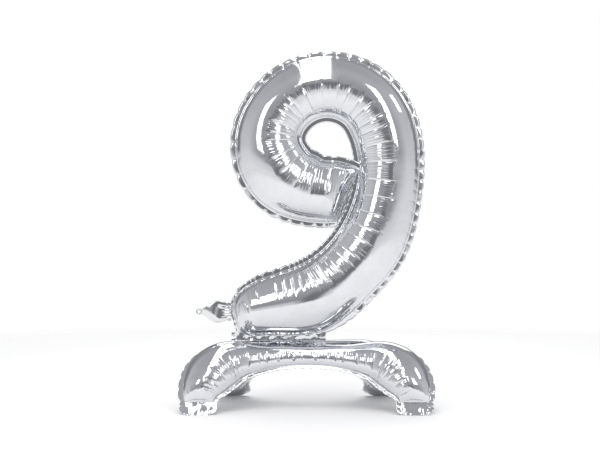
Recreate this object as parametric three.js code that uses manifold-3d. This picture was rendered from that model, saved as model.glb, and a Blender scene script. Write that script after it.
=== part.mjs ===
// Standing foil number balloon: a silver figure nine on a two-arch inflated base.
//
// Everything is film. Each chamber is two sheets welded together round their edge, so each chamber
// here is a front film and a rear film, two open dishes whose flat weld margins lie face to face.
// The figure and the front arch share one flat joining web; the rear arch is welded along its top
// margin to the back of the front arch and props it up. The figure and the base each have a
// filler neck of two flat films, with a self-sealing valve of two thin clear films behind it.
//
// Millimetres, +Z up, the figure faces -Y, and the floor is Z = 0. The finished group is moved so
// that its origin is the centre of the bounding box on the floor.
import * as THREE from "three";
import { mergeVertices } from "three/addons/utils/BufferGeometryUtils.js";
import Module from "manifold-3d";

const wasm = await Module();
wasm.setup();

// ---- Driving dimensions -------------------------------------------------------------------
const FILM = 0.75; // wall thickness as modelled; the real film is 0.03 mm
const SEAM_GAP = 0.3; // between the two films of a weld
const MARGIN = 10; // width of the flat weld margin outside each seam
const DEPTH_SHARE = 0.86; // an inflated tube is this much as deep as it is wide
const TUBE_COLUMNS = 8; // facets across an inflated tube
const FIGURE_ROW = 29; // facet length along the figure
const ARCH_ROW = 21; // facet length along an arch

// The figure's spine: round the loop of the nine, then down the stem and out along the tail.
const FIGURE_STOPS = [
  // x, z, half width of the tube
  [85, 492, 67], // the loop's closed end, beside the stem
  [60, 498, 73],
  [25, 501, 74],
  [-55, 537, 85],
  [-94, 626, 80],
  [-50, 722, 73],
  [50, 763, 70], // the crown
  [149, 722, 74],
  [192, 632, 77],
  [199, 548, 74],
  [188, 470, 75],
  [154, 380, 80],
  [93, 306, 79],
  [12, 258, 78],
  [-70, 243, 66],
  [-128, 230, 58],
  [-153, 223, 51],
  [-169, 221, 36], // the tail's closed end
];
const OUTSIDE_MARGIN = 7; // the figure's weld margin is narrower on the outside of its curve
const LOOP_END_MARGIN = 3; // and across the loop's end, which lies close beside the stem
const LOOP_END_CLOSE = 58; // length over which the tube closes at the end of the loop
const TAIL_END_CLOSE = 46;

// The joining web between the figure's lower margin and the front arch's upper margin.
const WEB = { left: -176, right: 44, bottom: 150.8, top: 165.2 };

// The arches, each in its own plane: x across, d down the plane from its upper edge.
const FRONT_ARCH = {
  hinge: { y: -3, z: 150 },
  tilt: -45.5, // degrees out of vertical; negative leans the feet forward
  close: 34,
  footMargin: 22,
  stops: [
    // x, d, half width, for one half; the other half mirrors it
    [0, 41, 31],
    [60, 43, 33],
    [115, 50, 41],
    [166, 63, 53],
    [207, 88, 60],
    [230, 125, 53],
    [240, 160, 39],
    [243, 194, 22],
  ],
};
const REAR_ARCH = {
  hinge: { y: 3, z: 150 },
  tilt: 45,
  close: 34,
  footMargin: 22,
  stops: [
    [0, 41, 31],
    [56, 43, 33],
    [104, 51, 41],
    [145, 68, 50],
    [174, 96, 53],
    [187, 130, 46],
    [187, 163, 37],
    [182, 192, 27],
  ],
};

// Filler necks: a flat bag that tapers to a tab with a hanging hole.
const NECK_CLEARANCE = 1.2; // each side of the crease it bends on
const TAB = { radius: 7.4, hole: 3.4 };
const FIGURE_NECK = { z: 220, length: 66, half: 24 };
const BASE_NECK = { d: 100, length: 26, half: 15 };

// Self-sealing valves: flat clear sleeves that run inwards from each neck.
const VALVE_FILM = 0.5;
const VALVE_INSET = 6; // from the seam to where the sleeve starts
const FIGURE_VALVE = { length: 105, half: 15 };
const BASE_VALVE = { length: 62, half: 12 };

// ---- Materials ----------------------------------------------------------------------------
const silver = new THREE.MeshStandardMaterial({ color: 0xd9dadc, roughness: 0.08, metalness: 1 });
const clear = new THREE.MeshStandardMaterial({
  color: 0xe8eef2,
  roughness: 0.25,
  transparent: true,
  opacity: 0.5,
});

// ---- Shapes -------------------------------------------------------------------------------
// A quarter round: 0 at the seam, rising to 1 once the chamber has closed over the given length.
function closing(distance, length) {
  const left = 1 - THREE.MathUtils.clamp(distance / length, 0, 1);
  return Math.sqrt(1 - left * left);
}

// Distances of the rows along a chamber: the end margin, the rows of each rounded end, and an
// even spacing between them.
function rowDistances(total, spacing, startClose, endClose, startMargin, endMargin) {
  const ramp = [0, 0.07, 0.25, 0.55];
  const start = [-startMargin, ...ramp.map((r) => r * startClose)];
  const end = [...ramp.map((r) => total - r * endClose).reverse(), total + endMargin];
  const from = startClose;
  const to = total - endClose;
  const count = Math.round((to - from) / spacing);
  const middle = Array.from({ length: count + 1 }, (_, i) => from + ((to - from) * i) / count);
  return [...start, ...middle, ...end];
}

// One film of an inflated chamber. spine holds (x, z, half width) as a curve; side is -1 for the
// front film and +1 for the rear one. The result lies in the XZ plane, bulging along Y.
function filmGeometry(spine, side, options) {
  const { spacing, startClose, endClose, margins } = options;
  const total = spine.getLength();
  const rows = rowDistances(total, spacing, startClose, endClose, margins.start, margins.end);
  const loops = rows.map((distance) => {
    const u = THREE.MathUtils.clamp(distance / total, 0, 1);
    const at = spine.getPointAt(u);
    const ahead = spine.getTangentAt(u);
    const along = new THREE.Vector2(ahead.x, ahead.y).normalize();
    const outward = new THREE.Vector2(-along.y, along.x);
    const past = distance - u * total; // past either end, the margin runs straight on
    const centre = new THREE.Vector2(at.x, at.y).addScaledVector(along, past);
    const fromEnds = [distance, total - distance];
    const lift = (inset) =>
      closing(Math.max(fromEnds[0] - inset, 0), startClose) *
      closing(Math.max(fromEnds[1] - inset, 0), endClose);
    const half = at.z;
    const place = (across, away) =>
      new THREE.Vector3(
        centre.x + outward.x * across,
        side * (SEAM_GAP / 2 + away),
        centre.y + outward.y * across,
      );
    const angles = Array.from({ length: TUBE_COLUMNS + 1 }, (_, j) => Math.PI * (1 - j / TUBE_COLUMNS));
    const outer = [
      place(-half - margins.left, FILM),
      ...angles.map((a) =>
        place(half * Math.cos(a), FILM + half * DEPTH_SHARE * Math.sin(a) * lift(0)),
      ),
      place(half + margins.right, FILM),
    ];
    const inner = [
      place(-half - margins.left, 0),
      ...angles.map((a) =>
        place((half - FILM) * Math.cos(a), half * DEPTH_SHARE * Math.sin(a) * lift(FILM)),
      ),
      place(half + margins.right, 0),
    ];
    return [...outer, ...inner.reverse()];
  });
  return loft(loops, side < 0);
}

// A closed solid through matching loops of points, with flat ends. Each loop runs out along one
// face of a film and back along the other.
function loft(loops, flip) {
  const size = loops[0].length;
  const positions = loops.flat().flatMap((p) => [p.x, p.y, p.z]);
  const faces = [];
  const quad = (a, b, c, d) => faces.push(a, b, c, a, c, d);
  for (let i = 0; i + 1 < loops.length; i += 1) {
    for (let j = 0; j < size; j += 1) {
      const k = (j + 1) % size;
      quad(i * size + j, i * size + k, (i + 1) * size + k, (i + 1) * size + j);
    }
  }
  const last = (loops.length - 1) * size;
  for (let j = 0; j + 1 < size / 2; j += 1) {
    const far = size - 1 - j;
    quad(j, far, far - 1, j + 1);
    quad(last + j, last + j + 1, last + far - 1, last + far);
  }
  if (flip) {
    for (let i = 0; i < faces.length; i += 3) {
      [faces[i + 1], faces[i + 2]] = [faces[i + 2], faces[i + 1]];
    }
  }
  const geometry = new THREE.BufferGeometry();
  geometry.setAttribute("position", new THREE.Float32BufferAttribute(positions, 3));
  geometry.setIndex(faces);
  geometry.computeVertexNormals();
  return geometry;
}

// A smooth curve through its points: a natural cubic spline, measured along the chords.
class SmoothCurve extends THREE.Curve {
  constructor(points) {
    super();
    this.points = points;
    this.knots = [0];
    for (let i = 1; i < points.length; i += 1) {
      this.knots.push(this.knots[i - 1] + points[i].distanceTo(points[i - 1]));
    }
    this.bends = this.solveBends();
  }

  // The second derivative at each point, by forward elimination and back substitution.
  solveBends() {
    const { points, knots } = this;
    const bends = points.map(() => new THREE.Vector3());
    const pivots = points.map(() => 1);
    const slope = (i) => points[i + 1].clone().sub(points[i]).divideScalar(knots[i + 1] - knots[i]);
    for (let i = 1; i + 1 < points.length; i += 1) {
      const before = knots[i] - knots[i - 1];
      const after = knots[i + 1] - knots[i];
      const carried = i > 1 ? before / pivots[i - 1] : 0;
      pivots[i] = 2 * (before + after) - carried * before;
      bends[i] = slope(i).sub(slope(i - 1)).multiplyScalar(6).addScaledVector(bends[i - 1], -carried);
    }
    for (let i = points.length - 2; i > 0; i -= 1) {
      const after = knots[i + 1] - knots[i];
      bends[i].addScaledVector(bends[i + 1], -after).divideScalar(pivots[i]);
    }
    return bends;
  }

  getPoint(t, target = new THREE.Vector3()) {
    const { points, knots, bends } = this;
    const at = t * knots[knots.length - 1];
    let i = 0;
    while (i + 2 < knots.length && knots[i + 1] < at) i += 1;
    const span = knots[i + 1] - knots[i];
    const b = (at - knots[i]) / span;
    const a = 1 - b;
    return target
      .set(0, 0, 0)
      .addScaledVector(points[i], a)
      .addScaledVector(points[i + 1], b)
      .addScaledVector(bends[i], ((a ** 3 - a) * span ** 2) / 6)
      .addScaledVector(bends[i + 1], ((b ** 3 - b) * span ** 2) / 6);
  }
}

// A spine: its third coordinate carries the tube's half width.
function spineThrough(stops) {
  return new SmoothCurve(stops.map(([x, z, half]) => new THREE.Vector3(x, z, half)));
}

function archSpine({ stops }) {
  const right = stops.map(([x, d, half]) => [x, -d, half]);
  const left = right.slice(1).reverse().map(([x, z, half]) => [-x, z, half]);
  return spineThrough([...left, ...right]);
}

// A flat film in the XZ plane, cut from a 2D shape; side puts it on the front or the back of Y = 0.
function flatFilm(shape, side, thickness) {
  const geometry = new THREE.ExtrudeGeometry(shape, {
    depth: thickness,
    bevelEnabled: false,
    curveSegments: 6,
  });
  geometry.rotateX(Math.PI / 2);
  const nearFace = side < 0 ? -SEAM_GAP / 2 : SEAM_GAP / 2 + thickness;
  return geometry.translate(0, nearFace, 0);
}

// A filler neck's outline, from its root at x = 0 out to the round hanging tab along -X.
function neckShape({ length, half }) {
  const root = -NECK_CLEARANCE;
  const tip = root - length;
  const tab = tip - TAB.radius * 0.6;
  const join = TAB.radius * Math.SQRT1_2; // the tab's circle runs on from 45 degrees each side
  const shape = new THREE.Shape();
  shape.moveTo(root, -half);
  shape.lineTo(root - length * 0.45, -half);
  shape.quadraticCurveTo(tip + length * 0.2, -half, tab + join, -join);
  shape.absarc(tab, 0, TAB.radius, -Math.PI / 4, Math.PI / 4, true);
  shape.quadraticCurveTo(tip + length * 0.2, half, root - length * 0.45, half);
  shape.lineTo(root, half);
  shape.closePath();
  const hole = new THREE.Path();
  hole.absarc(tab, 0, TAB.hole, 0, Math.PI * 2, false);
  shape.holes.push(hole);
  return shape;
}

// A valve sleeve's outline, running inwards along +X and narrowing a little.
function valveShape({ length, half }) {
  const shape = new THREE.Shape();
  const start = NECK_CLEARANCE + MARGIN + VALVE_INSET;
  shape.moveTo(start, -half);
  shape.lineTo(start + length, -half * 0.7);
  shape.lineTo(start + length, half * 0.7);
  shape.lineTo(start, half);
  shape.closePath();
  return shape;
}

function webShape() {
  const shape = new THREE.Shape();
  shape.moveTo(WEB.left, WEB.bottom);
  shape.lineTo(WEB.right, WEB.bottom);
  shape.lineTo(WEB.right, WEB.top);
  shape.lineTo(WEB.left, WEB.top);
  shape.closePath();
  return shape;
}

// The part of a closed geometry that lies where normal . point is at least offset.
function trimmed(geometry, normal, offset) {
  const plain = geometry.clone().deleteAttribute("normal");
  const merged = mergeVertices(plain, 1e-4);
  const solid = new wasm.Manifold(
    new wasm.Mesh({
      numProp: 3,
      vertProperties: new Float32Array(merged.attributes.position.array),
      triVerts: new Uint32Array(merged.index.array),
    }),
  );
  const kept = solid.trimByPlane(normal.toArray(), offset).getMesh();
  const result = new THREE.BufferGeometry();
  result.setAttribute("position", new THREE.BufferAttribute(kept.vertProperties, 3));
  result.setIndex(new THREE.BufferAttribute(kept.triVerts, 1));
  result.computeVertexNormals();
  return result;
}

// ---- Assembly -----------------------------------------------------------------------------
const SIDES = [
  ["front_film", -1],
  ["rear_film", 1],
];

function add(group, name, geometry, material) {
  const mesh = new THREE.Mesh(geometry, material);
  mesh.name = name;
  group.add(mesh);
  return mesh;
}

// A neck and its valve, both lying across the crease at the left edge of the film's margin.
function addNeck(group, name, filmMesh, height, neck, valve) {
  filmMesh.geometry.computeBoundingBox();
  const crease = filmMesh.geometry.boundingBox.min.x - NECK_CLEARANCE;
  for (const [film, side] of SIDES) {
    const bag = flatFilm(neckShape(neck), side, FILM);
    add(group, `${name}_neck_${film}`, bag, silver).position.set(crease, 0, height);
    const sleeve = flatFilm(valveShape(valve), side, VALVE_FILM);
    add(group, `${name}_valve_${film}`, sleeve, clear).position.set(crease, 0, height);
  }
}

function buildFigure() {
  const group = new THREE.Group();
  const spine = spineThrough(FIGURE_STOPS);
  const films = SIDES.map(([film, side]) => {
    const geometry = filmGeometry(spine, side, {
      spacing: FIGURE_ROW,
      startClose: LOOP_END_CLOSE,
      endClose: TAIL_END_CLOSE,
      margins: { left: MARGIN, right: OUTSIDE_MARGIN, start: LOOP_END_MARGIN, end: MARGIN },
    });
    return add(group, `figure_${film}`, geometry, silver);
  });
  addNeck(group, "figure", films[0], FIGURE_NECK.z, FIGURE_NECK, FIGURE_VALVE);
  return group;
}

function buildWeb() {
  const group = new THREE.Group();
  for (const [film, side] of SIDES) {
    add(group, `joining_web_${film}`, flatFilm(webShape(), side, FILM), silver);
  }
  return group;
}

// An arch hangs from its upper edge in a tilted plane, and its foot margins are cut off level
// with the floor.
function buildArch(name, arch) {
  const group = new THREE.Group();
  const spine = archSpine(arch);
  const tilt = THREE.MathUtils.degToRad(arch.tilt);
  const up = new THREE.Vector3(0, Math.sin(tilt), Math.cos(tilt)); // world up, as the arch sees it
  for (const [film, side] of SIDES) {
    const geometry = filmGeometry(spine, side, {
      spacing: ARCH_ROW,
      startClose: arch.close,
      endClose: arch.close,
      margins: { left: MARGIN, right: MARGIN, start: arch.footMargin, end: arch.footMargin },
    });
    add(group, `${name}_${film}`, trimmed(geometry, up, -arch.hinge.z), silver);
  }
  group.position.set(0, arch.hinge.y, arch.hinge.z);
  group.rotation.x = tilt;
  return group;
}

const balloon = new THREE.Group();
const rearArch = buildArch("rear_arch", REAR_ARCH);
addNeck(rearArch, "base", rearArch.children[0], -BASE_NECK.d, BASE_NECK, BASE_VALVE);
balloon.add(buildFigure(), buildWeb(), buildArch("front_arch", FRONT_ARCH), rearArch);

const box = new THREE.Box3().setFromObject(balloon, true);
const centre = box.getCenter(new THREE.Vector3());
balloon.position.set(-centre.x, -centre.y, -box.min.z);

export default balloon;
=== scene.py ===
"""Looks for the standing foil number balloon: a silver nine on its own two-arch base.

Every chamber is two sheets of metallised film welded round their edge and blown up, so each is
built as a front and a rear film whose puckers, pleats and scalloped weld margins are real shape.
Sizes are in metres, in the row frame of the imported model: +Z up, the figure faces -Y.
"""

import logging
import math
from dataclasses import dataclass, field
from enum import Enum

import bmesh
import bpy
import numpy as np
from mathutils import Matrix, Vector


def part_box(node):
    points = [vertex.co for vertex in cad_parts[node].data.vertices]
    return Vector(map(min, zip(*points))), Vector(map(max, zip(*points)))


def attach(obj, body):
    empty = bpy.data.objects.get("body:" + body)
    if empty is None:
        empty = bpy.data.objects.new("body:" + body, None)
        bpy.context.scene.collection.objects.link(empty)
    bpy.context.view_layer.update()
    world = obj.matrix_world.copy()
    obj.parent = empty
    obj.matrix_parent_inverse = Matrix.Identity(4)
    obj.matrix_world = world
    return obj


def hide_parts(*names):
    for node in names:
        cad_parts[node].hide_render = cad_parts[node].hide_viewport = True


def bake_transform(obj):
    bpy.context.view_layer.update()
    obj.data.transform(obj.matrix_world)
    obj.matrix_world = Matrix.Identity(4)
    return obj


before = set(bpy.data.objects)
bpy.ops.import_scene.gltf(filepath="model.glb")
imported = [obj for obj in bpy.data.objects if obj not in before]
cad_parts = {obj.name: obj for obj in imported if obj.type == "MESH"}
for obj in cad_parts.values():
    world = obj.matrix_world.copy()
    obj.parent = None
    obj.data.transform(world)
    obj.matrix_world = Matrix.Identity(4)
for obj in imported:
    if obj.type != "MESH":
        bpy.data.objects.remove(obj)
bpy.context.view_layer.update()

LOG = logging.getLogger("foil_balloon")
MM = 0.001

FILM_THICKNESS = 0.25 * MM  # drawn thicker than the real 0.03 mm so that its edge shows
WELD_GAP = 0.1 * MM
FLOOR_GAP = 0.4 * MM  # the lowest that any film comes


class Side(Enum):
    """Which of a chamber's two films a piece is; the value is the sign of its outward Y."""

    FRONT = -1
    REAR = 1


# ---- Finishes --------------------------------------------------------------------------------


def linear(hex_colour: str) -> tuple[float, float, float, float]:
    """Turns an sRGB hex colour into linear RGBA.

    Args:
        hex_colour: six hex digits after a hash.

    Returns:
        The linear red, green and blue, with an alpha of 1.
    """
    channels = [int(hex_colour[i : i + 2], 16) / 255 for i in (1, 3, 5)]
    red, green, blue = (
        c / 12.92 if c <= 0.04045 else ((c + 0.055) / 1.055) ** 2.4 for c in channels
    )
    return red, green, blue, 1.0


def add_node(
    tree: bpy.types.NodeTree,
    kind: str,
    inputs: dict[str | int, object] | None = None,
    settings: dict[str, object] | None = None,
) -> bpy.types.Node:
    """Adds a shader node with its settings, socket values and links.

    Args:
        tree: the node tree to add to.
        kind: the node's type name, less its leading "ShaderNode".
        inputs: socket to a value, or to the output socket to link from.
        settings: attributes of the node itself.

    Returns:
        The new node.
    """
    node = tree.nodes.new(f"ShaderNode{kind}")
    for name, value in (settings or {}).items():
        setattr(node, name, value)
    for name, value in (inputs or {}).items():
        socket = node.inputs[name]
        if isinstance(value, bpy.types.NodeSocket):
            tree.links.new(value, socket)
        else:
            socket.default_value = value
    return node


def ramp_stops(node: bpy.types.Node, stops: list[tuple[float, str]]) -> None:
    """Sets a colour ramp's stops.

    Args:
        node: the ramp.
        stops: its (place, sRGB hex) pairs.
    """
    ramp = node.color_ramp
    while len(ramp.elements) < len(stops):
        ramp.elements.new(0.5)
    for element, (place, colour) in zip(ramp.elements, stops):
        element.position = place
        element.color = linear(colour)


def new_material(name: str) -> tuple[bpy.types.Material, bpy.types.NodeTree]:
    """Makes a material with an empty node tree.

    Args:
        name: the real material's name.

    Returns:
        The material and its tree.
    """
    made = bpy.data.materials.new(name)
    made.use_nodes = True
    made.node_tree.nodes.clear()
    return made, made.node_tree


@dataclass(frozen=True)
class MetallisedFilm:
    """Biaxially drawn PET film with a vapour-deposited aluminium face.

    The metal layer makes it a mirror. The film's fine cockle and ribs break that mirror into
    soft streaks.
    """

    name: str = "metallised_pet_film"
    colour: str = "#dfe0e3"
    dull_colour: str = "#dbdcdf"
    tone_places: tuple[float, float] = (0.35, 0.6)
    roughness: float = 0.07
    haze: tuple[float, float] = (0.85, 1.2)  # shares of the roughness, smooth to hazy
    rib_pitch: float = 4.2 * MM  # fine compression ribs that run across the tubes
    rib_height: float = 0.4 * MM
    rib_stretch: float = 0.1  # how much finer the ribs are along than across
    comb_pitch: float = 4.4 * MM  # of the even teeth among the ribs, drawn as coarse as they show
    comb_share: float = 0.28
    cockle_size: float = 22 * MM
    cockle_height: float = 0.02 * MM

    def material(self) -> bpy.types.Material:
        """Builds the film's node material.

        Returns:
            The material, whose ribs follow the piece's UV map, in metres.
        """
        made, tree = new_material(self.name)
        place = add_node(tree, "TexCoord").outputs["Object"]
        cockle = add_node(
            tree,
            "TexNoise",
            {"Vector": place, "Scale": 1 / self.cockle_size, "Detail": 3.0, "Roughness": 0.55},
        ).outputs["Fac"]
        cockle_bump = add_node(
            tree, "Bump", {"Height": cockle, "Distance": self.cockle_height, "Strength": 1.0}
        )
        rib_bump = add_node(
            tree,
            "Bump",
            {
                "Height": self.ribs(tree),
                "Distance": self.rib_height,
                "Strength": 1.0,
                "Normal": cockle_bump.outputs["Normal"],
            },
        )
        tone = add_node(tree, "ValToRGB", {"Fac": cockle})
        ramp_stops(tone, list(zip(self.tone_places, (self.dull_colour, self.colour))))
        haze = add_node(
            tree,
            "MapRange",
            {
                "Value": cockle,
                "From Min": 0.3,
                "From Max": 0.7,
                "To Min": self.roughness * self.haze[0],
                "To Max": self.roughness * self.haze[1],
            },
        )
        shader = add_node(
            tree,
            "BsdfPrincipled",
            {
                "Base Color": tone.outputs["Color"],
                "Metallic": 1.0,
                "Roughness": haze.outputs["Result"],
                "Normal": rib_bump.outputs["Normal"],
            },
        )
        add_node(tree, "OutputMaterial", {"Surface": shader.outputs["BSDF"]})
        return made

    def ribs(self, tree: bpy.types.NodeTree) -> bpy.types.NodeSocket:
        """Adds the ribs' height: uneven ribs with even teeth among them, where the film puckers.

        Args:
            tree: the film's node tree.

        Returns:
            The height, 0 where the film is smooth.
        """
        uv = add_node(tree, "UVMap", None, {"uv_map": "film"}).outputs["UV"]
        pucker = add_node(tree, "Attribute", None, {"attribute_name": "pucker"})
        rib_scale = (1 / self.rib_pitch, self.rib_stretch / self.rib_pitch, 1.0)
        stretch = add_node(tree, "Mapping", {"Vector": uv, "Scale": rib_scale})
        rib = add_node(
            tree,
            "TexNoise",
            {
                "Vector": stretch.outputs["Vector"],
                "Scale": 1.0,
                "Detail": 1.5,
                "Roughness": 0.5,
            },
            {"noise_dimensions": "2D"},
        )
        wave_period = math.tau / 20  # of the wave texture's bands at a scale of 1
        comb_scale = (wave_period / self.comb_pitch, 3.0, 1.0)
        comb_place = add_node(tree, "Mapping", {"Vector": uv, "Scale": comb_scale})
        comb = add_node(
            tree,
            "TexWave",
            {
                "Vector": comb_place.outputs["Vector"],
                "Scale": 1.0,
                "Distortion": 2.0,
                "Detail": 1.0,
                "Detail Scale": 2.0,
            },
            {"wave_type": "BANDS", "bands_direction": "X", "wave_profile": "SIN"},
        )
        both = add_node(
            tree,
            "Math",
            {0: comb.outputs["Fac"], 1: self.comb_share, 2: rib.outputs["Fac"]},
            {"operation": "MULTIPLY_ADD"},
        )
        masked = add_node(
            tree,
            "Math",
            {0: both.outputs["Value"], 1: pucker.outputs["Fac"]},
            {"operation": "MULTIPLY"},
        )
        return masked.outputs["Value"]


@dataclass(frozen=True)
class ClearSleeve:
    """Cast polyethylene film, clear with a faint haze, as a self-sealing valve is cut from."""

    name: str = "clear_polyethylene_film"
    colour: str = "#eef2f4"
    roughness: float = 0.22
    haze: tuple[float, float] = (0.6, 1.5)  # shares of the roughness
    ior: float = 1.51
    alpha: float = 0.5
    streak_size: float = 6 * MM

    def material(self) -> bpy.types.Material:
        """Builds the sleeve's node material.

        Returns:
            A see-through plastic with drawn-out haze streaks.
        """
        made, tree = new_material(self.name)
        place = add_node(tree, "TexCoord").outputs["Object"]
        streak = add_node(
            tree, "TexNoise", {"Vector": place, "Scale": 1 / self.streak_size, "Detail": 2.0}
        )
        haze = add_node(
            tree,
            "MapRange",
            {
                "Value": streak.outputs["Fac"],
                "To Min": self.roughness * self.haze[0],
                "To Max": self.roughness * self.haze[1],
            },
        )
        shader = add_node(
            tree,
            "BsdfPrincipled",
            {
                "Base Color": linear(self.colour),
                "Roughness": haze.outputs["Result"],
                "IOR": self.ior,
                "Alpha": self.alpha,
            },
        )
        add_node(tree, "OutputMaterial", {"Surface": shader.outputs["BSDF"]})
        return made


# ---- Curves and random relief ----------------------------------------------------------------


class Spine:
    """A natural cubic spline through (across, up, half width) stops."""

    SAMPLES = 6000

    def __init__(self, stops: list[tuple[float, float, float]]) -> None:
        """Solves the spline and lays it out by length.

        Args:
            stops: the points it passes through, in millimetres.
        """
        points = np.array(stops, float) * MM
        knots = np.r_[0, np.cumsum(np.linalg.norm(np.diff(points, axis=0), axis=1))]
        bends = self._bends(points, knots)
        fine = np.linspace(0, knots[-1], self.SAMPLES)
        index = np.clip(np.searchsorted(knots, fine, side="right") - 1, 0, len(knots) - 2)
        span = (knots[index + 1] - knots[index])[:, None]
        ahead = (fine - knots[index])[:, None] / span
        back = 1 - ahead
        line = (
            back * points[index]
            + ahead * points[index + 1]
            + (back**3 - back) * span**2 / 6 * bends[index]
            + (ahead**3 - ahead) * span**2 / 6 * bends[index + 1]
        )
        steps = np.linalg.norm(np.diff(line[:, :2], axis=0), axis=1)
        self.lengths = np.r_[0, np.cumsum(steps)]
        self.line = line
        self.total = float(self.lengths[-1])

    @staticmethod
    def _bends(points: np.ndarray, knots: np.ndarray) -> np.ndarray:
        """Finds the second derivatives at the stops, zero at both ends.

        Args:
            points: the (n, 3) stops.
            knots: the stops' distances along the straight lines between them.

        Returns:
            The (n, 3) second derivatives.
        """
        count = len(points)
        gaps = np.diff(knots)
        slopes = np.diff(points, axis=0) / gaps[:, None]
        matrix = np.eye(count)
        right = np.zeros_like(points)
        for i in range(1, count - 1):
            matrix[i, i - 1 : i + 2] = gaps[i - 1], 2 * (gaps[i - 1] + gaps[i]), gaps[i]
            right[i] = 6 * (slopes[i] - slopes[i - 1])
        return np.linalg.solve(matrix, right)

    def at(self, lengths: np.ndarray) -> tuple[np.ndarray, np.ndarray, np.ndarray, np.ndarray]:
        """Points on the spine, carried straight on past its ends.

        Args:
            lengths: distances along the spine from its start.

        Returns:
            The (n, 2) centres, the (n, 2) unit directions ahead, the (n, 2) unit directions to the
            outer side, and the half widths.
        """
        inside = np.clip(lengths, 0, self.total)
        columns = [np.interp(inside, self.lengths, self.line[:, k]) for k in range(3)]
        centre = np.stack(columns[:2], axis=1)
        slope = np.gradient(self.line[:, :2], self.lengths, axis=0)
        along = np.stack([np.interp(inside, self.lengths, slope[:, k]) for k in range(2)], axis=1)
        along /= np.linalg.norm(along, axis=1)[:, None]
        outward = np.stack([-along[:, 1], along[:, 0]], axis=1)
        centre = centre + along * (lengths - inside)[:, None]
        return centre, along, outward, columns[2]


def smooth_step(value: np.ndarray, low: float, high: float) -> np.ndarray:
    """Rises smoothly from 0 at low to 1 at high."""
    share = np.clip((value - low) / (high - low), 0, 1)
    return share * share * (3 - 2 * share)


def ripples(
    u: np.ndarray, v: np.ndarray, size: tuple[float, float], count: int, rng: np.random.Generator
) -> np.ndarray:
    """Smooth random relief made of a few waves.

    Args:
        u: first coordinate of each point, in metres.
        v: second coordinate of each point, in metres.
        size: the shortest and longest wavelength, in metres.
        count: the number of waves.
        rng: where the waves' directions and phases are drawn from.

    Returns:
        The relief at each point, about -1 to 1.
    """
    total = np.zeros(np.broadcast(u, v).shape)
    for _ in range(count):
        turn = rng.uniform(0, 2 * math.pi)
        wave = 2 * math.pi / rng.uniform(*size)
        phase = rng.uniform(0, 2 * math.pi)
        total += np.sin(wave * (u * math.cos(turn) + v * math.sin(turn)) + phase)
    return total / math.sqrt(count * 0.5) * 0.5


# ---- Mesh helpers ----------------------------------------------------------------------------


def new_object(name: str, bm: bmesh.types.BMesh, material: bpy.types.Material) -> bpy.types.Object:
    """Turns a bmesh into a smooth-shaded object at the origin.

    Args:
        name: the piece's name.
        bm: its shape, which is freed.
        material: its finish.

    Returns:
        The new object.
    """
    mesh = bpy.data.meshes.new(name)
    bm.to_mesh(mesh)
    bm.free()
    mesh.polygons.foreach_set("use_smooth", [True] * len(mesh.polygons))
    mesh.materials.append(material)
    made = bpy.data.objects.new(name, mesh)
    bpy.context.scene.collection.objects.link(made)
    LOG.info("%s: %d faces", name, len(mesh.polygons))
    return made


def film_sheet(
    name: str,
    side: Side,
    place: Matrix,
    points: np.ndarray,
    pucker: np.ndarray,
    lengths: tuple[float, float],
    material: bpy.types.Material,
) -> bpy.types.Object:
    """A sheet of film laid through a grid of points, with a wall thickness on its inner side.

    Args:
        name: the piece's name.
        side: which film of its pair it is.
        place: where the pair's own plane goes.
        points: (rows, columns, 3) places of the sheet's outer face in that plane's frame.
        pucker: (rows, columns) share of fine ribbing, 0 to 1.
        lengths: the sheet's size along its rows and columns, for the UV map.
        material: its finish.

    Returns:
        The new object.
    """
    rows, columns = points.shape[:2]
    turn = place.to_3x3()
    points = points @ np.array(turn).T + np.array(place.translation)
    points[..., 2] = np.maximum(points[..., 2], FLOOR_GAP)
    bm = bmesh.new()
    bmesh.ops.create_grid(
        bm, x_segments=columns - 1, y_segments=rows - 1, size=0.5, calc_uvs=False
    )
    share = bm.verts.layers.float.new("pucker")
    uv = bm.loops.layers.uv.new("film")
    bm.verts.ensure_lookup_table()
    flat = np.array([v.co for v in bm.verts])
    column = np.rint((flat[:, 0] + 0.5) * (columns - 1)).astype(int)
    row = np.rint((flat[:, 1] + 0.5) * (rows - 1)).astype(int)
    placed = points[row, column]
    ribbed = pucker[row, column]
    for vert, place, value in zip(bm.verts, placed, ribbed):
        vert.co = place
        vert[share] = value
    for face in bm.faces:
        for loop in face.loops:
            index = loop.vert.index
            loop[uv].uv = (
                row[index] / (rows - 1) * lengths[0],
                column[index] / (columns - 1) * lengths[1],
            )
    bm.normal_update()
    facing = sum((f.normal * f.calc_area() for f in bm.faces), Vector())
    if facing.dot(turn @ Vector((0, side.value, 0))) < 0:
        bmesh.ops.reverse_faces(bm, faces=bm.faces[:])
    made = new_object(name, bm, material)
    wall = made.modifiers.new("wall", "SOLIDIFY")
    wall.thickness = FILM_THICKNESS
    wall.offset = -1.0
    wall.use_even_offset = False
    return made

# ---- Chambers --------------------------------------------------------------------------------


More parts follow.
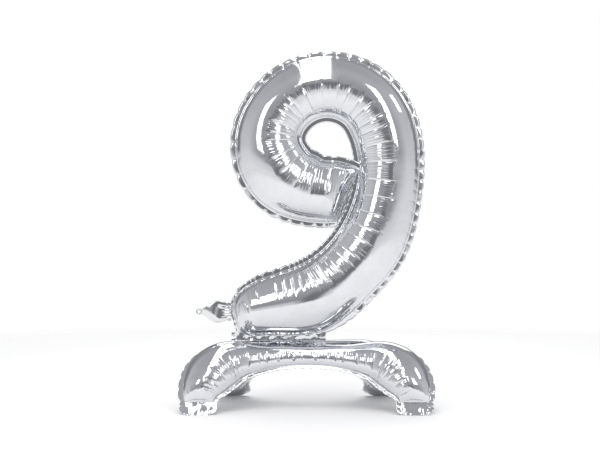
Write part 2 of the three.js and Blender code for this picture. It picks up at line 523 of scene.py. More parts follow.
@dataclass
class Puckers:
    """Where and how a chamber's film puckers. Places across run from 0, outer seam, to 1, inner."""

    seed: int
    spacing: float = 33 * MM  # between the creases, along the spine
    spacing_spread: tuple[float, float] = (0.55, 1.4)  # shares of it
    lean: float = 0.35  # of the creases, as a share of the spacing
    depth: float = 1.8 * MM
    crease_width: float = 2.2 * MM
    inset: float = 0.75 * MM  # how far the puckered panels sink below the smooth film
    bulge: float = 0.5 * MM
    tilt: float = 0.95 * MM
    cross_fold: float = 0.5 * MM  # a fold along the panel
    cross_fold_places: tuple[float, float] = (0.62, 0.72)
    unfolded: float = 0.2  # the share of the panels without one
    tube_width: float = 140 * MM
    warp: float = 1.6 * MM  # how far the creases wander
    beyond: float = 60 * MM  # the creases run on past the spine's ends
    band_places: tuple[float, ...] = (0.0, 1.0)  # shares of the spine's length
    band_starts: tuple[float, ...] = (0.46, 0.46)  # where across the panels begin there
    band_strength: tuple[float, ...] = (1.0, 1.0)
    band_end: float = 0.88
    fade: float = 0.035  # how far across the panels fade in
    edge_wander: float = 0.04
    edge_ridge: float = 0.3 * MM  # the fold line along the band's outer edge
    ridge_width: float = 0.012
    rib_pitch: float = 7.5 * MM
    rib_depth: float = 0.07 * MM
    swell: float = 0.25 * MM
    cockle: float = 0.02 * MM
    pleat_pitch: float = 21 * MM  # of the scallops along the welds
    pleat_depth: float = 1.5 * MM
    pleat_length: float = 8 * MM
    end_pleat_pitch: float = 11 * MM
    end_pleat_depth: float = 2.0 * MM
    end_pleat_length: float = 13 * MM
    lobe_places: tuple[float, ...] = (0.0, 1.0)  # shares of the spine's length
    outer_lobes: tuple[float, ...] = (1.0, 1.0)  # how scalloped the outer margin is there
    inner_lobes: tuple[float, ...] = (0.15, 0.15)
    lobe_size: float = 3.2 * MM
    flutter: float = 0.8 * MM  # the margins' waviness
    lobe_fold: float = 1.3 * MM  # how far the dips between scallops lean back
    bead: float = 0.4 * MM  # the weld's raised line


@dataclass
class Lay:
    """How a film's grid lies on its chamber, as (rows, columns) arrays."""

    rows: np.ndarray  # only one for each row: its distance along the spine
    along: np.ndarray  # the distance along the spine
    turn: np.ndarray  # the angle round the tube from its outer seam
    across: np.ndarray  # the place across, 0 at the outer seam and 1 at the inner
    margin: np.ndarray  # the share of a side margin: positive on the outer one, 0 on the tube
    half: np.ndarray  # half the tube's width
    lobed: np.ndarray  # how scalloped the nearer margin is
    scallop: np.ndarray  # the scallops, 0 in their dips and 1 at their tips


@dataclass
class Chamber:
    """An inflated chamber: two films welded round a spine."""

    name: str
    stops: list[tuple[float, float, float]]
    puckers: Puckers
    margin_outer: float = 10 * MM
    margin_inner: float = 10 * MM
    margin_start: float = 10 * MM
    margin_end: float = 10 * MM
    slim_outer: tuple[float, ...] = (0.0, 0.0)  # off the tube's outer side, at lobe_places
    outer_widths: tuple[float, ...] = (1.0, 1.0)  # shares of the outer margin, at lobe_places
    curl: float = 1.7 * MM  # the outer margin leans this far back
    skirt: float = 0.0  # depth of the crumples beyond the ends
    hem_round: float = 0.0  # how far the skirts' corners draw up
    close_start: tuple[float, float] = (46 * MM, 46 * MM)  # at the outer and the inner side
    close_end: tuple[float, float] = (46 * MM, 46 * MM)
    margin_rows: tuple[int, int] = (5, 5)
    depth_share: float = 0.86
    row_step: float = 1.4 * MM
    tube_columns: int = 36
    relief_room: float = 6 * MM  # the relief fades where the tube is shallower than this
    place: Matrix = field(default_factory=Matrix)

    def __post_init__(self) -> None:
        """Lays out the spine."""
        self.spine = Spine(self.stops)

    def lay_out(self) -> Lay:
        """Lays out a film's grid, from margin edge to margin edge both ways.

        Returns:
            The grid, which is the same for both films.
        """
        total = self.spine.total
        start = np.linspace(-self.margin_start, 0, self.margin_rows[0] + 1)[:-1]
        body = np.linspace(0, total, round(total / self.row_step) + 1)
        end = np.linspace(total, total + self.margin_end, self.margin_rows[1] + 1)[1:]
        rows = np.r_[start, body, end]
        angles = np.linspace(0, math.pi, self.tube_columns + 1)
        shares = np.array([1.0, 0.75, 0.5, 0.25])
        angle = np.r_[np.zeros(4), angles, np.full(4, math.pi)]
        share = np.r_[shares, np.zeros(len(angles)), -shares[::-1]]
        along, turn = np.meshgrid(rows, angle, indexing="ij")
        margin = np.meshgrid(rows, share, indexing="ij")[1]
        half = self.spine.at(rows)[3][:, None] * np.ones_like(turn)
        half = half - self.at_lobes(along, self.slim_outer) / 2
        spec = self.puckers
        lobes = [self.at_lobes(along, values) for values in (spec.outer_lobes, spec.inner_lobes)]
        lobed = np.where(turn < math.pi / 2, *lobes)
        scallop = np.abs(np.sin(np.pi * self.pleat_phase(along)))
        return Lay(rows, along, turn, (1 - np.cos(turn)) / 2, margin, half, lobed, scallop)

    def at_lobes(self, along: np.ndarray, values: tuple[float, ...]) -> np.ndarray:
        """Reads values given at the lobe places, at distances along the spine."""
        share = np.clip(along / self.spine.total, 0, 1)
        return np.interp(share, self.puckers.lobe_places, values)

    def panels(self, lay: Lay) -> tuple[np.ndarray, np.ndarray]:
        """The puckered band: thin creases across the tube, with flat tilted panels between them.

        Args:
            lay: the film's grid.

        Returns:
            The relief in metres, and the share of fine ribbing, 0 to 1.
        """
        spec = self.puckers
        across = lay.across
        rng = np.random.default_rng(spec.seed)
        places = [-spec.beyond]
        while places[-1] < self.spine.total + spec.beyond:
            places.append(places[-1] + spec.spacing * rng.uniform(*spec.spacing_spread))
        places = np.array(places)
        count = len(places)
        lean = rng.uniform(-spec.lean, spec.lean, count) * spec.spacing
        strength = rng.uniform(0.5, 1.0, count)
        tilt = rng.uniform(-1.0, 1.0, count) * spec.tilt
        bulge = rng.uniform(0.3, 1.0, count) * spec.bulge
        offset = rng.uniform(-spec.edge_wander, spec.edge_wander, count)
        halfway = rng.uniform(*spec.cross_fold_places, count)
        fold = (rng.uniform(0, 1, count) > spec.unfolded) * spec.cross_fold
        warp = ripples(lay.along, across * 0.12, (0.025, 0.08), 6, rng) * spec.warp

        share_along = lay.along / self.spine.total
        start = np.interp(share_along, spec.band_places, spec.band_starts)
        power = np.interp(share_along, spec.band_places, spec.band_strength)
        shifted = lay.along + warp
        index = np.clip(np.searchsorted(places, shifted.ravel()) - 1, 0, count - 2)
        index = index.reshape(shifted.shape)
        place = shifted + (across - (start + spec.band_end) / 2) * lean[index] * 0.5
        width = places[index + 1] - places[index]
        share = np.clip((place - places[index]) / width, 0, 1)
        nearest = np.minimum(share, 1 - share) * width
        depth = np.where(share < 0.5, strength[index], strength[index + 1])
        arc = 4 * share * (1 - share)

        edge = start + offset[index] + spec.fade * (1 - arc)  # scalloped, a scallop to a panel
        inside = smooth_step(across - edge, 0, spec.fade)
        crease_in = np.clip((across - edge + 0.05) / 0.07, 0, 1)
        ending = smooth_step(spec.band_end + 0.06 - across, 0, 0.07)
        crease = np.exp(-nearest / spec.crease_width) * depth * spec.depth
        from_fold = np.abs(across - halfway[index]) * spec.tube_width
        cross_fold = np.exp(-from_fold / spec.crease_width)
        level = (
            -spec.inset
            + bulge[index] * arc
            + tilt[index] * (share - 0.5) * 2
            - cross_fold * fold[index] * arc
        )
        ridge = np.exp(-(((across - edge) / spec.ridge_width) ** 2)) * spec.edge_ridge
        relief = (level * inside + ridge - crease * crease_in) * ending * power
        return relief, inside * ending * power

    def relief(self, lay: Lay, side: Side) -> tuple[np.ndarray, np.ndarray]:
        """All of a film's relief: swells, cockle, panels, ribs, and pleats along the welds.

        Args:
            lay: the film's grid.
            side: which film.

        Returns:
            The relief in metres, and the share of fine ribbing, 0 to 1.
        """
        spec = self.puckers
        along, across = lay.along, lay.across
        rng = np.random.default_rng(spec.seed + 50 + side.value)
        edge = np.exp(-lay.half * 2 * across / spec.pleat_length)
        edge += np.exp(-lay.half * 2 * (1 - across) / (0.6 * spec.pleat_length))
        tuck = (1 - lay.scallop**0.5) * edge * lay.lobed
        from_end = np.minimum(along, self.spine.total - along).clip(0)
        phase = lay.half * np.cos(lay.turn) / spec.end_pleat_pitch
        phase = phase + ripples(along, lay.half * across, (0.03, 0.08), 5, rng)
        end_pleat = 1 - np.abs(np.sin(np.pi * phase)) ** 0.6
        end_pleat = end_pleat * np.exp(-from_end / spec.end_pleat_length)
        level, ribbed = self.panels(lay)
        rib_wander = ripples(along, across * 0.2, (0.05, 0.15), 5, rng) * 0.5
        rib = np.cos(2 * np.pi * (along / spec.rib_pitch + rib_wander)) * ribbed
        swell = ripples(along, across * 0.15, (0.07, 0.2), 10, rng) * spec.swell
        cockle = ripples(along, across * 0.15, (0.012, 0.03), 14, rng) * spec.cockle
        total = (
            swell
            + cockle * (1 + 3 * ribbed)
            + level
            + rib * spec.rib_depth
            - tuck * spec.pleat_depth
            - end_pleat * spec.end_pleat_depth
            + self.extra_relief(lay)
        )
        return total, ribbed

    def surface(self, side: Side) -> tuple[np.ndarray, np.ndarray, tuple[float, float]]:
        """Works out one film's outer face.

        Args:
            side: which film.

        Returns:
            The (rows, columns, 3) points, the share of ribbing, and the sheet's two lengths.
        """
        spec = self.puckers
        lay = self.lay_out()
        relief, ribbed = self.relief(lay, side)
        lift = lay.half * self.depth_share * np.sin(lay.turn) * self.closing(lay)
        relief = relief * np.minimum(lift, self.relief_room) / self.relief_room
        flat = (lay.half + relief) * np.cos(lay.turn) - self.at_lobes(lay.along, self.slim_outer) / 2
        lift = lift + relief * np.sin(lay.turn)

        outer = self.margin_outer * self.at_lobes(lay.along, self.outer_widths)
        lobe = spec.lobe_size * (lay.scallop**0.6 - 0.65) * lay.lobed
        flat = flat + lay.margin * (np.where(lay.margin > 0, outer, self.margin_inner) + lobe)
        bead = np.exp(-((lay.margin / 0.12) ** 2)) * (lay.margin != 0) * spec.bead
        common = np.random.default_rng(spec.seed + 90)
        flutter = ripples(lay.along, lay.across * 0.4, (0.012, 0.035), 10, common) * spec.flutter
        fold = (1 - lay.scallop) ** 3 * spec.lobe_fold
        beyond = self.past_ends(lay.along)
        loose = np.minimum(np.abs(lay.margin) + beyond, 1) ** 1.2 * np.maximum(lay.lobed, beyond)
        y = side.value * (WELD_GAP / 2 + FILM_THICKNESS + np.maximum(lift, 0) + bead)
        y = y + (flutter + fold) * loose + self.curl * np.maximum(lay.margin, 0) ** 2
        y = y + self.end_folds(lay)

        centre, _, outward, _ = self.spine.at(lay.rows)
        spots = self.shape_ends(lay, centre[:, None] + outward[:, None] * flat[..., None])
        points = np.stack([spots[..., 0], y, spots[..., 1]], axis=2)
        girth = float(np.mean(lay.half)) * math.pi + self.margin_outer + self.margin_inner
        return points, ribbed, (self.spine.total, girth)

    def past_ends(self, along: np.ndarray) -> np.ndarray:
        """How far out on an end margin each distance is, 0 along the spine to 1 at the hem."""
        past = np.maximum(-along, along - self.spine.total)
        return np.clip(past / self.margin_end, 0, 1)

    def end_folds(self, lay: Lay) -> np.ndarray:
        """Crumples of the flat film beyond a chamber's ends.

        Args:
            lay: the film's grid.

        Returns:
            How far each point moves along Y.
        """
        rng = np.random.default_rng(self.puckers.seed + 70)
        past = self.past_ends(lay.along)
        waves = ripples(past * self.margin_end, lay.across * 0.075, (0.016, 0.045), 9, rng)
        return waves * self.skirt * np.minimum(past * 2, 1)

    def shape_ends(self, lay: Lay, spots: np.ndarray) -> np.ndarray:
        """Draws the skirts' corners up, so that their hems are round.

        Args:
            lay: the film's grid.
            spots: (rows, columns, 2) places in the spine's plane.

        Returns:
            The new places.
        """
        beyond = self.past_ends(lay.rows) * np.sign(lay.rows - self.spine.total / 2)
        side = np.minimum(np.abs(2 * lay.across - 1) * 0.75 + np.abs(lay.margin) * 0.25, 1)
        back = beyond[:, None] * side**3 * self.hem_round
        return spots - self.spine.at(lay.rows)[1][:, None] * back[..., None]

    def pleat_phase(self, along: np.ndarray) -> np.ndarray:
        """Counts the scallops along the weld, slightly unevenly."""
        rng = np.random.default_rng(self.puckers.seed + 7)
        return along / self.puckers.pleat_pitch + ripples(along, along * 0, (0.1, 0.3), 5, rng) * 0.35

    def closing(self, lay: Lay) -> np.ndarray:
        """How far the chamber has opened out at each place.

        Args:
            lay: the film's grid.

        Returns:
            Shares of the full depth, 0 at and beyond the ends.
        """
        opened = np.ones_like(lay.across)
        ends = ((lay.along, self.close_start), (self.spine.total - lay.along, self.close_end))
        for distance, (outer, inner) in ends:
            short = 1 - np.clip(distance / (outer + (inner - outer) * lay.across), 0, 1)
            opened = opened * np.sqrt(1 - short**2)
        return opened

    def extra_relief(self, lay: Lay) -> np.ndarray:
        """Relief that only some chambers have; none here."""
        return np.zeros_like(lay.along)

    def build(self, finish: bpy.types.Material, body: str) -> list[bpy.types.Object]:
        """Builds and places both films, hides their CAD parts and hangs them on the body.

        Args:
            finish: the film's material.
            body: the CAD body they ride on.

        Returns:
            The front and the rear film.
        """
        made = []
        for side in Side:
            node = f"{self.name}_{side.name.lower()}_film"
            points, ribbed, lengths = self.surface(side)
            film = film_sheet(
                f"{node}_foil", side, self.place, points, ribbed, lengths, finish
            )
            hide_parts(node)
            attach(film, body)
            made.append(film)
        return made


# (across, up, half width) in millimetres, from the loop's end to the tail's.
FIGURE_STOPS = [
    (91, 490, 66), (60, 498, 73), (25, 501, 74), (-55, 537, 85), (-94, 626, 80), (-49, 720, 75),
    (50, 759, 74), (148, 720, 76), (193, 632, 76), (200, 548, 73), (188, 470, 75), (154, 380, 80),
    (93, 306, 79), (14, 252, 83), (-70, 234, 72), (-128, 223, 62), (-153, 218, 56), (-169, 214, 48),
]


def inward(across: np.ndarray, start: float) -> np.ndarray:
    """Rises evenly from 0 at a place across the tube to 1 at its inner seam."""
    return np.clip((across - start) / (1 - start), 0, 1)


@dataclass
class Figure(Chamber):
    """The nine: a tube that runs round the loop, down the stem and out along the tail."""

    name: str = "figure"
    stops: list[tuple[float, float, float]] = field(default_factory=lambda: FIGURE_STOPS)
    puckers: Puckers = field(
        default_factory=lambda: Puckers(
            seed=9,
            band_places=(0.0, 0.05, 0.5, 0.68, 0.8, 0.9, 1.0),
            band_starts=(0.48, 0.46, 0.46, 0.46, 0.52, 0.66, 0.72),
            band_strength=(0.8, 1.0, 0.9, 0.75, 1.0, 0.9, 0.5),
            lobe_places=(0.0, 0.03, 0.07, 0.5, 0.6, 0.82, 0.86, 0.90, 1.0),
            outer_lobes=(1.0, 1.0, 1.0, 1.0, 1.0, 1.0, 0.2, 0.15, 0.3),
            inner_lobes=(0.8, 0.5, 0.1, 0.1, 0.5, 0.5, 0.6, 1.0, 1.0),
        )
    )
    slim_outer: tuple[float, ...] = (7 * MM,) * 6 + (2 * MM, 0.0, 0.0)
    outer_widths: tuple[float, ...] = (1.0,) * 6 + (0.5, 0.3, 0.3)
    margin_outer: float = 14 * MM
    margin_inner: float = 13 * MM
    curl: float = 0.8 * MM
    margin_start: float = 20 * MM
    margin_rows: tuple[int, int] = (16, 5)
    close_start: tuple[float, float] = (26 * MM, 80 * MM)
    corner: float = 30 * MM  # the tail's end is rounded off on its upper side
    corner_reach: float = 75 * MM
    beak: float = 14 * MM  # the loop's end reaches further along the hole's side
    beak_reach: float = 70 * MM
    beak_rise: float = 9 * MM
    beak_rise_reach: float = 85 * MM
    hole_fill: float = 7 * MM  # rounds the hole's lower left corner
    hole_fill_place: float = 98 * MM
    hole_fill_reach: float = 38 * MM
    round_reach: float = 30 * MM  # the hole's edge is rounded over this much of the spine
    round_from: tuple[float, float] = (30 * MM, 90 * MM)  # after the loop's end
    round_until: tuple[float, float] = (250 * MM, 150 * MM)  # before the tail's end
    slit_seed: int = 77
    slit_run: float = 24 * MM
    slit_fold: float = 1.0 * MM
    slit_overlap: float = 2 * MM  # the loop's end margin runs this far on to the stem's
    slit_missed: float = 9 * MM  # the end margin's length where it doesn't meet the stem
    seal_place: tuple[float, float] = (23 * MM, 0.5)  # along from the tail's end, and across
    seal_radius: tuple[float, float] = (15 * MM, 0.30)
    seal_depth: float = 1.9 * MM

    def extra_relief(self, lay: Lay) -> np.ndarray:
        """The wavy oval that the valve's weld leaves near the tail's end.

        Args:
            lay: the film's grid.

        Returns:
            The relief in metres, none away from the oval.
        """
        away = (self.spine.total - self.seal_place[0] - lay.along) / self.seal_radius[0]
        up = (lay.across - self.seal_place[1]) / self.seal_radius[1]
        radius = np.hypot(away, up)
        wavy = 0.95 + 0.05 * np.sin(6 * np.arctan2(up, away))
        ring = np.exp(-(((radius - wavy) / 0.12) ** 2))
        inside = np.clip((1.0 - radius) / 0.2, 0, 1)
        wave = np.sin(2 * np.pi * (away * 2.6 + 0.25 * np.sin(up * 7))) * 0.5 + 0.5
        return -(ring + inside * wave * 0.7) * self.seal_depth

    def end_folds(self, lay: Lay) -> np.ndarray:
        """Long folds beside the slit between the loop's end and the stem.

        Args:
            lay: the film's grid.

        Returns:
            How far each point moves along Y.
        """
        rng = np.random.default_rng(self.slit_seed)
        past = np.clip(-lay.along / self.margin_start, 0, 1)
        waves = ripples(past * self.slit_run, lay.across * 0.025, (0.006, 0.014), 9, rng)
        return waves * self.slit_fold * np.minimum(past * 6, 1) * (1 - past**3)

    def shape_ends(self, lay: Lay, spots: np.ndarray) -> np.ndarray:
        """Rounds the tail's end, and carries the loop's end margin on to the stem's.

        Args:
            lay: the film's grid.
            spots: (rows, columns, 2) places in the spine's plane.

        Returns:
            The new places.
        """
        total = self.spine.total
        rows, across = lay.rows, lay.across
        centre, ahead, outward, half = self.spine.at(rows)
        inner = inward(across, 0.45) + np.abs(np.minimum(lay.margin, 0)) * 0.12
        lower = np.clip((0.3 - across) / 0.3, 0, 1) * 0.45
        bend = 2 - np.sqrt(1 - np.minimum(inner, 1) ** 2 * 0.98) - np.sqrt(1 - lower**2)
        bend = bend + np.maximum(inner - 1, 0) * 1.5
        back = bend * smooth_step(rows, total - self.corner_reach, total)[:, None] * self.corner
        near = 1 - smooth_step(rows, 0, self.beak_reach)
        back = back + inward(across, 0.35) ** 2 * self.beak * near[:, None]

        near = 1 - smooth_step(rows, 0, self.beak_rise_reach)
        rise = inward(across, 0.3) ** 1.5 * self.beak_rise * near[:, None]
        near = np.exp(-(((rows - self.hole_fill_place) / self.hole_fill_reach) ** 2))
        rise = rise + inward(across, 0.4) ** 1.5 * self.hole_fill * near[:, None]

        edge = centre - outward * (half + self.margin_inner)[:, None]
        moves = self.rounding(rows, edge)[:, None] * inward(across, 0.35)[..., None] ** 2
        spots = spots - ahead[:, None] * back[..., None] - outward[:, None] * rise[..., None] + moves

        seam = int(np.searchsorted(rows, 0.0))
        stem = edge[rows > total * 0.4]
        shares = 1 - np.arange(seam)[:, None] / seam
        for column in range(spots.shape[1]):
            start = spots[seam, column]
            way = start - spots[seam + 6, column]
            way = way / np.linalg.norm(way)
            reach = self.distance_to(start, way, stem) + self.slit_overlap
            spots[:seam, column] = start + way * reach * shares
        return spots

    def rounding(self, rows: np.ndarray, edge: np.ndarray) -> np.ndarray:
        """How far each row's inner edge moves when the edge's corners are evened out.

        Args:
            rows: the rows' distances along the spine.
            edge: the (rows, 2) inner edge.

        Returns:
            The (rows, 2) moves, none at the loop's end and along the tail.
        """
        count = round(2.5 * self.round_reach / self.row_step)
        kernel = np.exp(-0.5 * (np.arange(-count, count + 1) * self.row_step / self.round_reach) ** 2)
        kernel /= kernel.sum()
        padded = np.pad(edge, ((count, count), (0, 0)), mode="edge")
        even = np.stack([np.convolve(padded[:, k], kernel, mode="valid") for k in range(2)], axis=1)
        until = [self.spine.total - before for before in self.round_until]
        part = smooth_step(rows, *self.round_from) * (1 - smooth_step(rows, *until))
        return (even - edge) * part[:, None]

    def distance_to(self, start: np.ndarray, way: np.ndarray, line: np.ndarray) -> float:
        """How far a straight run goes before it meets a line.

        Args:
            start: where the run starts.
            way: its unit direction.
            line: the line's points.

        Returns:
            The distance, or the set length where it misses.
        """
        offset = line - start
        sides = offset @ np.array([-way[1], way[0]])
        ahead = offset @ way
        hits = np.nonzero((sides[:-1] * sides[1:] < 0) & (ahead[:-1] > 0))[0]
        if not len(hits):
            return self.slit_missed
        return float(np.min(ahead[hits]))


# Half of each arch: (across, down from the upper edge, half width) in millimetres.
ARCH_HALF = {
    "front_arch": [
        (0, 45, 27), (60, 47, 29), (115, 53, 38), (166, 63, 53),
        (207, 88, 60), (230, 125, 53), (240, 156, 41), (241, 178, 32),
    ],
    "rear_arch": [
        (0, 41, 31), (56, 43, 33), (104, 51, 41), (145, 68, 50),
        (174, 96, 53), (187, 130, 46), (188, 156, 39), (185, 177, 33),
    ],
}


def arch_stops(half: list[tuple[float, float, float]]) -> list[tuple[float, float, float]]:
    """Mirrors one half of an arch's stops.

    Args:
        half: the stops from the arch's middle to its right foot.

    Returns:
        The whole arch's stops, left foot to right foot.
    """
    right = [(x, -down, width) for x, down, width in half]
    left = [(-x, z, width) for x, z, width in right[:0:-1]]
    return left + right


def arch(name: str, tilt: float, hinge: tuple[float, float], seed: int) -> Chamber:
    """An arch of the base, hung from its upper edge in a tilted plane.

    It puckers squarely along its lower half, and its shoulders are scalloped.

    Args:
        name: the arch's node name, less the film.
        tilt: degrees out of vertical, negative with its feet forward.
        hinge: the upper edge's Y and Z.
        seed: what its puckers are drawn from.

    Returns:
        The chamber, ready to build.
    """
    puckers = Puckers(
        seed=seed,
        spacing=25 * MM,
        depth=1.6 * MM,
        inset=0.9 * MM,
        bulge=0.9 * MM,
        tilt=0.7 * MM,
        band_starts=(0.60, 0.60),
        band_end=0.9,
        lobe_places=(0.0, 0.27, 0.34, 0.66, 0.73, 1.0),
        outer_lobes=(1.0, 1.0, 0.1, 0.1, 1.0, 1.0),
        inner_lobes=(0.5, 0.4, 0.2, 0.2, 0.4, 0.5),
    )
    return Chamber(
        name=name,
        stops=arch_stops(ARCH_HALF[name]),
        puckers=puckers,
        margin_start=38 * MM,
        margin_end=38 * MM,
        margin_rows=(22, 22),
        hem_round=16 * MM,
        slim_outer=(0.0,) * 6,
        outer_widths=(1.0,) * 6,
        skirt=1.3 * MM,
        close_start=(34 * MM, 34 * MM),
        close_end=(34 * MM, 34 * MM),
        place=Matrix.Translation((0, *hinge)) @ Matrix.Rotation(math.radians(tilt), 4, "X"),
    )


# ---- Flat films ------------------------------------------------------------------------------


@dataclass
class FlatFilms:
    """A pair of flat films, front and rear, crumpled together."""

    name: str
    seed: int
    place: Matrix = field(default_factory=Matrix)
    crumple: float = 1.2 * MM
    apart: float = 0.35  # share of the crumple that each film has to itself
    wave: tuple[float, float] = (12 * MM, 34 * MM)
    waves: int = 12
    ribbing: float = 0.3

    def grid(self) -> tuple[np.ndarray, np.ndarray, np.ndarray]:
        """Lays the film out flat.

        Returns:
            The (rows, columns) x and z, and the (rows, columns) opening of the pair, in metres.
        """
        raise NotImplementedError

    def profile(self, x: np.ndarray, z: np.ndarray) -> tuple[np.ndarray, np.ndarray]:
        """The y and z that each flat place is bent to; flat here."""
        return np.zeros_like(z), z

    def build(self, finish: bpy.types.Material, slot: str) -> list[bpy.types.Object]:
        """Builds both films and hides their CAD parts.

        Args:
            finish: the film's material.
            slot: not used.

        Returns:
            The front and the rear film.
        """
        made = []
        x, z, opening = self.grid()
        bent, height = self.profile(x, z)
        lengths = (float(np.ptp(x)), float(np.ptp(z)))
        for side in Side:
            rng = np.random.default_rng(self.seed)
            own = np.random.default_rng(self.seed + 3 + side.value)
            shared = ripples(x, z, self.wave, self.waves, rng) * self.crumple
            single = ripples(x, z, self.wave, self.waves, own) * self.crumple * self.apart
            gap = WELD_GAP / 2 + FILM_THICKNESS + np.maximum(opening + single, 0)
            points = np.stack([x, bent + shared + side.value * gap, height], axis=2)
            node = f"{self.name}_{side.name.lower()}_film"
            ribbed = np.full(x.shape, self.ribbing)
            film = film_sheet(f"{node}_foil", side, self.place, points, ribbed, lengths, finish)
            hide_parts(node)
            made.append(film)
        return made


@dataclass
class Neck(FlatFilms):
    """A filler neck: a slack bag that swells, then tapers to a tab with a hanging hole."""

    length: float = 66 * MM
    half: float = 26 * MM
    root: float = 5 * MM  # how far it runs on under the chamber's margin
    width_places: tuple[float, ...] = (0, 0.08, 0.2, 0.35, 0.5, 0.7, 0.88, 1.0)
    widths: tuple[float, ...] = (0.84, 0.78, 0.88, 1.0, 0.97, 0.74, 0.4, 0.2)
    ripple: float = 0.5 * MM  # of its sides near the root
    tab_radius: float = 7.4 * MM
    tab_hole: float = 3.4 * MM
    ring_inset: float = 1.2 * MM
    ring_flatness: float = 0.45
    swell: float = 2.6 * MM
    gather: float = 1.6 * MM

    def grid(self) -> tuple[np.ndarray, np.ndarray, np.ndarray]:
        """Lays the bag out from its root, at +x, to its tip.

        Returns:
            The (rows, columns) x and z, and the (rows, columns) opening of the pair, in metres.
        """
        run = np.linspace(-self.root, self.length, 90)
        side = np.linspace(-1, 1, 56)
        share = np.clip(run / self.length, 0, 1)
        width = np.interp(share, self.width_places, self.widths) * self.half
        ripple = np.sin(run / (5 * MM)) * self.ripple * (share < 0.35)
        x = -run[:, None] * np.ones_like(side)
        z = (width + ripple)[:, None] * side
        swell = self.swell * np.sin(np.pi * np.clip(share, 0.05, 1))[:, None]
        gathers = np.abs(np.sin(side * 11)) ** 0.7 * self.gather * (1 - side**2)
        gathered = np.exp(-(((share - 0.06) / 0.14) ** 2))[:, None]
        opening = np.sqrt(1 - side**2) * swell
        return x, z, opening * (1 - 0.5 * gathered) + gathers * gathered

    def hang(
        self, finish: bpy.types.Material, bodies: tuple[str, str], bend: tuple[float, float]
    ) -> None:
        """Builds the bag and its ring.

        Args:
            finish: the film's material.
            bodies: the CAD bodies of its chamber and of the neck itself.
            bend: not used.
        """
        for piece in self.build(finish, "silver_film"):
            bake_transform(piece)
        self.eyelet(finish, bodies[1])

    def eyelet(self, finish: bpy.types.Material, body: str) -> None:
        """Builds the welded ring that the bag hangs by.

        Args:
            finish: the film's material.
            body: the CAD body it rides on.
        """
        middle = (self.tab_radius + self.tab_hole) / 2
        thick = (self.tab_radius - self.tab_hole) / 2
        bm = bmesh.new()
        section = bmesh.ops.create_circle(bm, segments=12, radius=thick)["verts"]
        bmesh.ops.scale(bm, vec=(1.0, self.ring_flatness, 1.0), verts=section)
        bmesh.ops.translate(bm, vec=(middle, 0.0, 0.0), verts=section)
        bmesh.ops.spin(
            bm,
            geom=bm.verts[:] + bm.edges[:],
            cent=(0, 0, 0),
            axis=(0, 1, 0),
            angle=math.tau,
            steps=40,
            use_merge=True,
        )
        bmesh.ops.remove_doubles(bm, verts=bm.verts[:], dist=0.01 * MM)
        bmesh.ops.recalc_face_normals(bm, faces=bm.faces[:])
        centre = Vector((-self.length - 0.6 * self.tab_radius - self.ring_inset, 0, 0))
        bmesh.ops.transform(bm, matrix=self.place @ Matrix.Translation(centre), verts=bm.verts[:])
        ring = new_object(f"{self.name}_eyelet", bm, finish)
        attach(ring, body)


@dataclass
class Web(FlatFilms):
    """The flat film between the figure and the front arch, crumpled by the weight above it."""

    left: float = -178 * MM
    right: float = 46 * MM
    top: float = 172 * MM
    fold: float = 150 * MM  # where it turns on to the arch's slope
    slope: float = 22 * MM
    slope_share: float = 0.70  # forward and down, for each length along the slope
    slope_ahead: float = 4 * MM  # the sloping part lies this far in front of the arch's film
    fold_reach: float = 4 * MM
    fold_depth: float = 0.8 * MM
    pleat: float = 0.35 * MM

    def grid(self) -> tuple[np.ndarray, np.ndarray, np.ndarray]:
        """Lays the web out; z is the length up the film from its lower edge.

        Returns:
            The (rows, columns) x and z, and the (rows, columns) opening of the pair, in metres.
        """
        x = np.linspace(self.left, self.right, 200)
        up = np.linspace(0, self.slope + self.top - self.fold, 34)
        x, z = np.meshgrid(x, up, indexing="ij")
        pleat = np.abs(np.sin(x / (4.6 * MM) + np.sin(x / (13 * MM)))) ** 0.6
        return x, z, pleat * self.pleat

    def profile(self, x: np.ndarray, z: np.ndarray) -> tuple[np.ndarray, np.ndarray]:
        """Bends the lower part of the web forward, down the arch's slope.

        Args:
            x: (rows, columns) places across.
            z: (rows, columns) lengths up the film.

        Returns:
            The (rows, columns) y and z that each place is bent to.
        """
        down = np.maximum(self.slope - z, 0) * self.slope_share
        rise = np.maximum(z - self.slope, 0)
        ease = np.exp(-(((z - self.slope) / self.fold_reach) ** 2)) * self.fold_depth
        return -down - ease - self.slope_ahead * (rise <= 0), self.fold - down + rise


@dataclass
class Valve(FlatFilms):
    """A self-sealing valve's sleeve: two clear films that cling together."""

    length: float = 105 * MM
    half: float = 15 * MM
    start: float = 17 * MM
    taper: float = 0.3
    opening: float = 0.3 * MM

    def grid(self) -> tuple[np.ndarray, np.ndarray, np.ndarray]:
        """Lays the sleeve out along +x, a little narrower at its inner end.

        Returns:
            The (rows, columns) x and z, and the (rows, columns) opening of the pair, in metres.
        """
        run = np.linspace(0, self.length, 70)
        side = np.linspace(-1, 1, 16)
        width = self.half * (1 - self.taper * run / self.length)
        x = (self.start + run)[:, None] * np.ones_like(side)
        return x, width[:, None] * side, (1 - side**2) * self.opening * np.ones_like(x)


# ---- Studio ----------------------------------------------------------------------------------


@dataclass(frozen=True)
class Wall:
    """A part of the room as the foil mirrors it."""

    greys: list[tuple[float, str]]  # (share of the height, sRGB hex) pairs
    turn: tuple[float, float] | None = None  # the Y of the directions where it starts and is full


